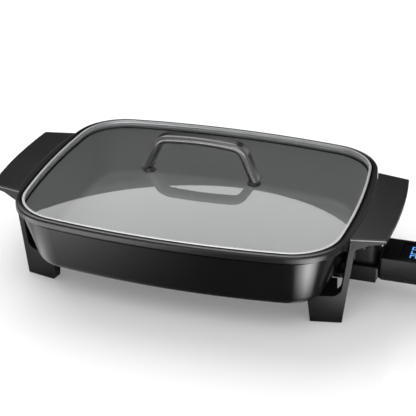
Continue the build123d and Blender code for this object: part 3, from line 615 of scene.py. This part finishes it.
glass = Finish("lid_glass")
glass_place = glass.place()
film = glass.node("TexNoise", None, {"Vector": glass_place, "Scale": 9.0, "Detail": 3.0})
glass_normal = glass.node("NewGeometry", output="Normal")
glass_side = glass.along("Z", glass_normal)
pressed_face = abs(glass_side) > pressed_slope
outward = (glass_side > 0.0) * 2.0 - 1.0
pressed_x = glass.along("X", glass_place) * (2 * dome_rise / dome_half_length ** 2)
pressed_y = glass.along("Y", glass_place) * (2 * dome_rise / dome_half_width ** 2)
pressed_curve = glass.node("CombineXYZ", None, {
    "X": pressed_x * outward, "Y": pressed_y * outward, "Z": outward,
})
smooth_normal = glass.node("Mix", {"data_type": "VECTOR"}, {
    0: pressed_face, 4: glass_normal, 5: pressed_curve,
}, output=1)
glass_surface = glass.node("VectorMath", {"operation": "NORMALIZE"}, {0: smooth_normal})
fresnel = glass.node("Fresnel", None, {"IOR": glass_ior, "Normal": glass_surface})
sheen = fresnel * (1.0 - glass.node("NewGeometry", output="Backfacing"))
clear = glass.node("BsdfTransparent", None, {"Color": glass_tint})
mirror_skin = glass.node("BsdfGlossy", None, {
    "Color": glass_mirror,
    "Roughness": glass_roughness + film_roughness * film,
    "Normal": glass_surface,
})
glass.close(glass.layer(sheen * both_faces, clear, mirror_skin))
dress(glass, "glass_lid")

# ---- Lid band ----
# A folded channel of polished stainless steel round the glass, rolled from one strip. Its
# outer side, down in the pan's seat, is painted dark as the shade there.
band_colour = (0.58, 0.58, 0.59, 1.0)
band_shade_colour = (0.42, 0.42, 0.43, 1.0)
band_seat_shadow_colour = (0.02, 0.02, 0.0205, 1.0)
band_side_slope = 0.55
band_roughness = 0.36
rolling_roughness = 0.1
rolling_lines = (40.0, 40.0, 2400.0)

steel = Finish("lid_steel")
steel_place = steel.place()
stretched = steel.node("Mapping", None, {"Vector": steel_place, "Scale": rolling_lines})
rolling = steel.node("TexNoise", None, {"Vector": stretched, "Scale": 1.0, "Detail": 3.0})
steel_mix = steel.mix(rolling, band_colour, band_shade_colour)
steel_normal = steel.node("NewGeometry", output="Normal")
faces_out = steel.dot(steel_place, steel_normal) > 0.0
# Painted shade: the outward side of the band, down in the seat, is dark.
steel_seat_shadow_mask = (steel.along("Z", steel_normal) < band_side_slope) * faces_out
steel_seat_shaded = steel.mix(steel_seat_shadow_mask, steel_mix, band_seat_shadow_colour)
steel_relief = steel.node("Bump", None, {"Strength": 0.06, "Distance": 0.0001, "Height": rolling})
steel.close(steel.node("BsdfPrincipled", None, {
    "Base Color": steel_seat_shaded,
    "Metallic": 1.0,
    "Roughness": band_roughness + rolling_roughness * rolling,
    "Normal": steel_relief,
}))
dress(steel, "lid_band")

# ---- Lid handle ----
# One black moulding with softened edges and a shine on it. A screw through the glass holds
# each of its two feet.
grip = worn_finish(
    "grip_moulding", clean=(0.006, 0.006, 0.0065, 1.0), worn=(0.012, 0.012, 0.0125, 1.0),
    scale=45.0, detail=5.0, roughness=0.20, rougher=0.05, specular=1.0,
    relief=0.1, grain_scale=2100.0,
)
dress(grip, "lid_handle")

# ---- Gaskets, washers and cord gland ----
# Black silicone with a faint grey bloom: the pads between the handle and the glass, the
# washers under the glass, and the gland where the lead comes in.
silicone = worn_finish(
    "soft_seal", clean=(0.016, 0.016, 0.017, 1.0), worn=(0.040, 0.040, 0.041, 1.0),
    scale=320.0, detail=5.0, falloff=2.0, roughness=0.55, rougher=0.12, specular=0.35,
    relief=0.15,
)
dress(silicone, "lid_gaskets", "lid_washers", "cord_gland")

# ---- Controller case ----
# Two semi-gloss black mouldings, the lower one chamfered, with a faint painted highlight on
# their rounded edges. Screws from below hold them together.
case = worn_finish(
    "case_plastic", clean=(0.006, 0.006, 0.0065, 1.0), worn=(0.012, 0.012, 0.0125, 1.0),
    scale=40.0, detail=5.0, roughness=0.24, rougher=0.08, specular=0.05,
    relief=0.1, grain_scale=2400.0, edge_highlight_colour=(0.028, 0.028, 0.029, 1.0),
)
dress(case, "controller_top_shell", "controller_bottom_shell")

# ---- Plug end, display block, relay, power supply and switches ----
# Matt black mouldings with a little dust on them: the plug end of the controller, and the
# parts that stand on its boards.
component = worn_finish(
    "component_plastic", clean=(0.022, 0.022, 0.023, 1.0), worn=(0.050, 0.050, 0.050, 1.0),
    scale=500.0, detail=5.0, falloff=2.0, roughness=0.48, rougher=0.12, relief=0.2,
)
dress(component, "controller_nose", "display_module", "relay", "power_supply", "key_switches")

# ---- Boards ----
# Glass-fibre laminate under green solder mask, with its copper tracks just showing. Screws
# hold the main board on posts of the lower shell.
mask_colour = (0.010, 0.085, 0.035, 1.0)
track_colour = (0.018, 0.150, 0.060, 1.0)
mask_roughness = 0.30
track_roughness = 0.1

laminate = Finish("board_laminate")
laminate_place = laminate.place()
tracks = laminate.node("TexBrick", None, {
    "Vector": laminate_place, "Scale": 240.0, "Mortar Size": 0.12,
}, output="Fac")
laminate_mix = laminate.mix(tracks, mask_colour, track_colour)
laminate_relief = laminate.node("Bump", None, {"Strength": 0.2, "Distance": 0.0001, "Height": tracks})
laminate.close(laminate.node("BsdfPrincipled", None, {
    "Base Color": laminate_mix,
    "Roughness": mask_roughness + track_roughness * tracks,
    "Normal": laminate_relief,
}))
dress(laminate, "main_board", "display_board", "key_board")

# ---- Capacitor ----
# A drawn aluminium can that stands on the main board, with fine upright scores in its side
# from the drawing.
can_colour = (0.62, 0.62, 0.64, 1.0)
can_scored_colour = (0.45, 0.45, 0.47, 1.0)
can_roughness = 0.25
score_roughness = 0.2
score_lines = (1500.0, 1500.0, 60.0)

can = Finish("can_metal")
can_place = can.place()
drawing = can.node("Mapping", None, {"Vector": can_place, "Scale": score_lines})
scores = can.node("TexNoise", None, {"Vector": drawing, "Scale": 1.0, "Detail": 3.0})
can_mix = can.mix(scores, can_colour, can_scored_colour)
can_relief = can.node("Bump", None, {"Strength": 0.1, "Distance": 0.0001, "Height": scores})
can.close(can.node("BsdfPrincipled", None, {
    "Base Color": can_mix,
    "Metallic": 1.0,
    "Roughness": can_roughness + score_roughness * scores,
    "Normal": can_relief,
}))
dress(can, "capacitor")

# ---- Display window ----
# One sheet of smoked acrylic let into the top of the case. It is clear enough over the
# display for lit figures to show, and backed with black ink everywhere else.
window_colour = (0.004, 0.004, 0.005, 1.0)
window_worn_colour = (0.009, 0.009, 0.010, 1.0)
smoke_colour = (0.62, 0.64, 0.68, 1.0)
smoke_share = 0.75
window_roughness = 0.10
fingerprint_roughness = 0.06
view_start = 0.2285
view_end = 0.2575
view_half_width = 0.0175

window = Finish("window_plastic")
window_place = window.place()
window_x = window.along("X", window_place)
window_y = window.along("Y", window_place)
fingerprints = window.node("TexNoise", None, {"Vector": window_place, "Scale": 60.0, "Detail": 5.0})
window_mix = window.mix(fingerprints, window_colour, window_worn_colour)
view = (window_x > view_start) * (window_x < view_end) * (abs(window_y) < view_half_width)
ink = window.node("BsdfPrincipled", None, {
    "Base Color": window_mix,
    "Roughness": window_roughness + fingerprint_roughness * fingerprints,
    "Specular IOR Level": 0.22,
})
smoke = window.node("BsdfTransparent", None, {"Color": smoke_colour})
window.close(window.layer(view * smoke_share, ink, smoke))
dress(window, "display_window")

# ---- Lit figures ----
# Three seven-bar figures of pale blue diodes on the display block, seen through the window.
# They read from the front of the case to its back, with their tops towards the pan.
figures = "350"
bars_of = {"3": "abcdg", "5": "acdfg", "0": "abcdef"}
figure_height = 0.0125
figure_width = 0.0066
figure_pitch = 0.0092
figure_top_x = 0.2385
bar = 0.0013
figure_lift = 0.00003
figure_thickness = 0.00006
diode_colour = (0.10, 0.42, 1.0, 1.0)
deep_light = (0.16, 0.52, 1.0, 1.0)
pale_light = (0.42, 0.74, 1.0, 1.0)


def plate(bm, low, high):
    """A thin flat block between two corners."""
    for vertex in bmesh.ops.create_cube(bm, size=1.0)["verts"]:
        vertex.co = [low[i] + (vertex.co[i] + 0.5) * (high[i] - low[i]) for i in range(3)]


def piece_from(bm, name, finish, body):
    """A finished mesh that rides on a body."""
    made = object_from(bm, name, finish)
    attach(made, body)


half_height = figure_height / 2
middle_figure = (len(figures) - 1) / 2
bar_spans = {
    "a": ((0, bar), (0, figure_width)),
    "b": ((0, half_height), (figure_width - bar, figure_width)),
    "c": ((half_height, figure_height), (figure_width - bar, figure_width)),
    "d": ((figure_height - bar, figure_height), (0, figure_width)),
    "e": ((half_height, figure_height), (0, bar)),
    "f": ((0, half_height), (0, bar)),
    "g": ((half_height - bar / 2, half_height + bar / 2), (0, figure_width)),
}
diode_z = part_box("display_module")[1].z + figure_lift
diodes = bmesh.new()
for index, figure in enumerate(figures):
    start_y = (index - middle_figure) * figure_pitch - figure_width / 2
    for name in bars_of[figure]:
        (low_x, high_x), (low_y, high_y) = bar_spans[name]
        low = (figure_top_x + low_x, start_y + low_y, diode_z)
        high = (figure_top_x + high_x, start_y + high_y, diode_z + figure_thickness)
        plate(diodes, low, high)

lit = Finish("lit_figures")
lit_place = lit.place()
flicker = lit.node("TexNoise", None, {"Vector": lit_place, "Scale": 900.0, "Detail": 2.0})
lit_colour = lit.mix(flicker, deep_light, pale_light)
lit.close(lit.node("BsdfPrincipled", None, {
    "Base Color": diode_colour,
    "Emission Color": lit_colour,
    "Emission Strength": 3.2,
    "Roughness": 0.4,
}))
piece_from(diodes, "display_figures", lit, "controller")

# ---- Buttons ----
# Three soft-gloss key caps that come up through the window, each over its switch and with
# its mark pad-printed on top.
mark_colour = (0.62, 0.63, 0.64, 1.0)
mark_thin_colour = (0.40, 0.41, 0.42, 1.0)
mark_roughness = 0.5
thin_roughness = 0.1
thin_falloff = 2.0
mark_lift = 0.00004
mark_width = 0.0007
mark_reach = 0.0021
power_gap = 0.6
power_steps = 40
stroke_outer = 1.25
stroke_inner = 0.1

keycap = worn_finish(
    "button_plastic", clean=(0.018, 0.018, 0.020, 1.0), worn=(0.034, 0.034, 0.036, 1.0),
    scale=420.0, detail=4.0, roughness=0.32, rougher=0.12, relief=0.12,
)
dress(keycap, "power_button", "minus_button", "plus_button")

print_ink = Finish("key_marks")
ink_place = print_ink.place()
ink_thin = print_ink.node("TexNoise", None, {"Vector": ink_place, "Scale": 1500.0, "Detail": 3.0})
print_ink.close(print_ink.node("BsdfPrincipled", None, {
    "Base Color": print_ink.mix(ink_thin ** thin_falloff, mark_colour, mark_thin_colour),
    "Roughness": mark_roughness + thin_roughness * ink_thin,
}))


def ring(bm, centre, radius, width, low, high, gap):
    """A flat ring with a gap of that half angle towards -X."""
    rows = []
    for step in range(power_steps + 1):
        turn = math.pi + gap + (2 * math.pi - 2 * gap) * step / power_steps
        row = []
        for reach in (radius - width / 2, radius + width / 2):
            x = centre[0] + reach * math.cos(turn)
            y = centre[1] + reach * math.sin(turn)
            row += [bm.verts.new((x, y, z)) for z in (low, high)]
        rows.append(row)
    for near, far in zip(rows, rows[1:]):
        for first, second in ((0, 1), (1, 3), (3, 2), (2, 0)):
            bm.faces.new((near[first], near[second], far[second], far[first]))
    for row, corners in ((rows[0], (0, 2, 3, 1)), (rows[-1], (0, 1, 3, 2))):
        bm.faces.new([row[corner] for corner in corners])


half_width = mark_width / 2
for name in ("power", "minus", "plus"):
    low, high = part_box(name + "_button")
    middle = ((low.x + high.x) / 2, (low.y + high.y) / 2)
    bottom = high.z
    top = high.z + mark_lift
    mark = bmesh.new()
    strokes = []
    if name == "power":
        ring(mark, middle, mark_reach, mark_width, bottom, top, power_gap)
        strokes.append((-mark_reach * stroke_outer, -half_width, -mark_reach * stroke_inner, half_width))
    else:
        strokes.append((-half_width, -mark_reach, half_width, mark_reach))
    if name == "plus":
        strokes.append((-mark_reach, -half_width, -half_width, half_width))
        strokes.append((half_width, -half_width, mark_reach, half_width))
    for low_x, low_y, high_x, high_y in strokes:
        start = (middle[0] + low_x, middle[1] + low_y, bottom)
        end = (middle[0] + high_x, middle[1] + high_y, top)
        plate(mark, start, end)
    bmesh.ops.recalc_face_normals(mark, faces=mark.faces)
    piece_from(mark, name + "_mark", print_ink, name + "_button")
